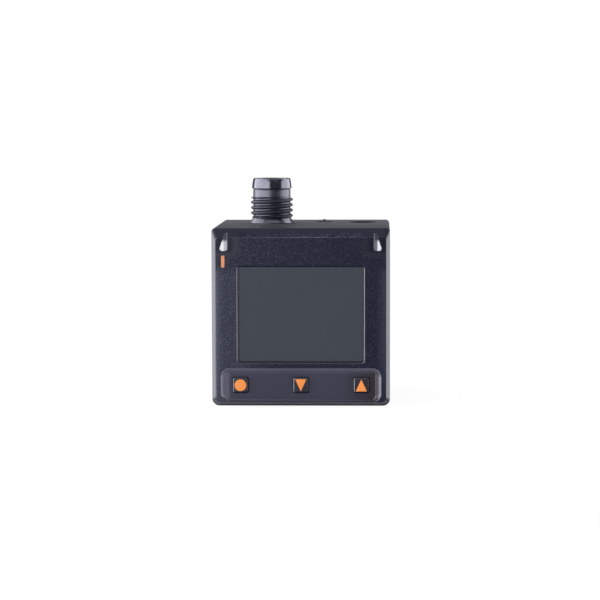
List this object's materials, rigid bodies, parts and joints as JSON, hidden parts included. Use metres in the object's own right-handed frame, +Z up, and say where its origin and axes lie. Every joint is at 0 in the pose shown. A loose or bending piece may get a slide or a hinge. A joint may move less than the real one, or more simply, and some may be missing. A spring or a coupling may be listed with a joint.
{
  "type": "pressure sensor",
  "caption": "Compact cube-shaped pressure sensor with a recessed display, push keys in a sunken tray, corner status light guides, an M8 plug on top and a female threaded port at the rear.",
  "frame": {"origin": "middle of the base, on the surface that the sensor stands on", "axes": "+Z up along the M8 plug, +X to the right seen from the front, the display faces -Y and the process port opens towards +Y"},
  "size_m": [0.032, 0.033, 0.0404],
  "materials": {
    "cover_plastic": "fine-grained dark navy-black moulding",
    "housing_plastic": "satin black moulding",
    "window_pane": "smooth smoked grey-blue pane",
    "display_glass": "dark display glass, unlit",
    "frame_plastic": "white moulding",
    "key_plastic": "satin black with orange printed marks",
    "switch_plastic": "matte black",
    "light_guide": "clear to milky white",
    "plug_black": "glossy black",
    "contact_gold": "gold plated",
    "insert_brass": "plain brass",
    "port_steel": "turned stainless steel",
    "screw_steel": "plain steel",
    "seal_rubber": "black rubber",
    "vent_film": "dark porous film",
    "circuit_board": "green solder resist",
    "chip_plastic": "black moulding"
  },
  "bodies": {
    "sensor_body": {"front_cover": "cover_plastic", "display_window": "window_pane", "window_gasket": "seal_rubber", "display_panel": "display_glass", "display_frame": "frame_plastic", "display_board": "circuit_board", "display_screws": "screw_steel", "key_switches": "switch_plastic", "light_guide_left": "light_guide", "light_guide_right": "light_guide", "status_leds": "light_guide", "rear_housing": "housing_plastic", "cover_seal": "seal_rubber", "vent_membrane": "vent_film", "mounting_inserts": "insert_brass", "process_port": "port_steel", "pressure_cell": "port_steel", "cell_retainer": "port_steel", "cell_o_ring": "seal_rubber", "port_o_ring": "seal_rubber", "cell_pins": "contact_gold", "main_board": "circuit_board", "controller_chip": "chip_plastic", "board_connector": "chip_plastic", "connector_sleeve": "plug_black", "connector_o_ring": "seal_rubber", "connector_nut": "port_steel", "contact_carrier": "chip_plastic", "contact_pins": "contact_gold"},
    "enter_button": {"enter_key": "key_plastic", "enter_plunger": "switch_plastic"},
    "down_button": {"down_key": "key_plastic", "down_plunger": "switch_plastic"},
    "up_button": {"up_key": "key_plastic", "up_plunger": "switch_plastic"}
  },
  "joints": [
    {"name": "enter_press", "type": "slide", "parent": "sensor_body", "child": "enter_button", "axis": [0, 1, 0], "range_m": [0, 0.0004], "stiffness_N_per_m": 800},
    {"name": "down_press", "type": "slide", "parent": "sensor_body", "child": "down_button", "axis": [0, 1, 0], "range_m": [0, 0.0004], "stiffness_N_per_m": 800},
    {"name": "up_press", "type": "slide", "parent": "sensor_body", "child": "up_button", "axis": [0, 1, 0], "range_m": [0, 0.0004], "stiffness_N_per_m": 800}
  ]
}
